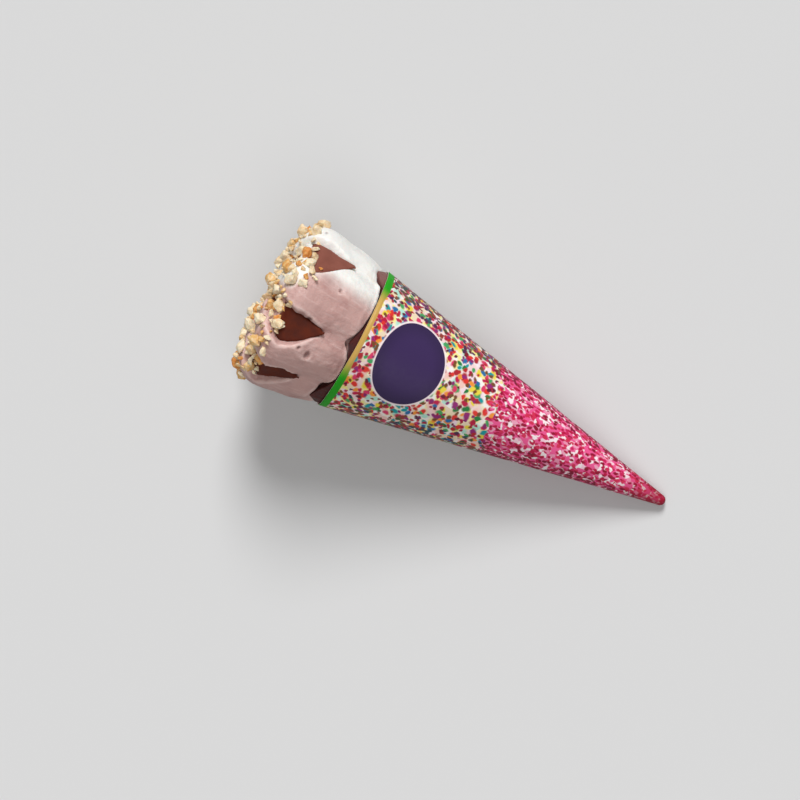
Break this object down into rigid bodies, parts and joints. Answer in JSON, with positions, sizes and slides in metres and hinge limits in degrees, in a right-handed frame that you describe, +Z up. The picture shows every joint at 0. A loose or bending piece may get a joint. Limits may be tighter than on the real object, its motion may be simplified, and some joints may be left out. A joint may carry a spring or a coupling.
{
  "type": "ice cream cone in a paper sleeve",
  "caption": "Ice cream cone in its printed conical paper sleeve, lying on its side, with a lobed crown of ice cream, chocolate sauce and chopped nuts.",
  "frame": {"origin": "middle of the bottom of the part's box, on the surface that the cone lies on", "axes": "+X along the cone towards the paper tip, +Z up from the surface, +Y to the side"},
  "size_m": [0.1652, 0.0648, 0.0626],
  "materials": {
    "printed_paper": "satin print",
    "wafer": "matt",
    "chocolate": "satin",
    "ice_cream": "satin",
    "sauce": "soft gloss",
    "nut": "matt"
  },
  "bodies": {
    "root": {"paper_sleeve": "printed_paper", "wafer_cone": "wafer", "chocolate_lining": "chocolate", "ice_cream": "ice_cream", "chocolate_sauce": "sauce", "nut_01": "nut", "nut_02": "nut", "nut_03": "nut", "nut_04": "nut", "nut_05": "nut", "nut_06": "nut", "nut_07": "nut", "nut_08": "nut", "nut_09": "nut", "nut_10": "nut", "nut_11": "nut", "nut_12": "nut", "nut_13": "nut", "nut_14": "nut", "nut_15": "nut", "nut_16": "nut", "nut_17": "nut", "nut_18": "nut", "nut_19": "nut", "nut_20": "nut", "nut_21": "nut", "nut_22": "nut", "nut_23": "nut", "nut_24": "nut", "nut_25": "nut", "nut_26": "nut", "nut_27": "nut", "nut_28": "nut", "nut_29": "nut", "nut_30": "nut", "nut_31": "nut", "nut_32": "nut", "nut_33": "nut", "nut_34": "nut", "nut_35": "nut", "nut_36": "nut", "nut_37": "nut", "nut_38": "nut", "nut_39": "nut", "nut_40": "nut", "nut_41": "nut", "nut_42": "nut", "nut_43": "nut", "nut_44": "nut", "nut_45": "nut", "nut_46": "nut", "nut_47": "nut", "nut_48": "nut", "nut_49": "nut", "nut_50": "nut", "nut_51": "nut", "nut_52": "nut", "nut_53": "nut", "nut_54": "nut"}
  },
  "joints": []
}
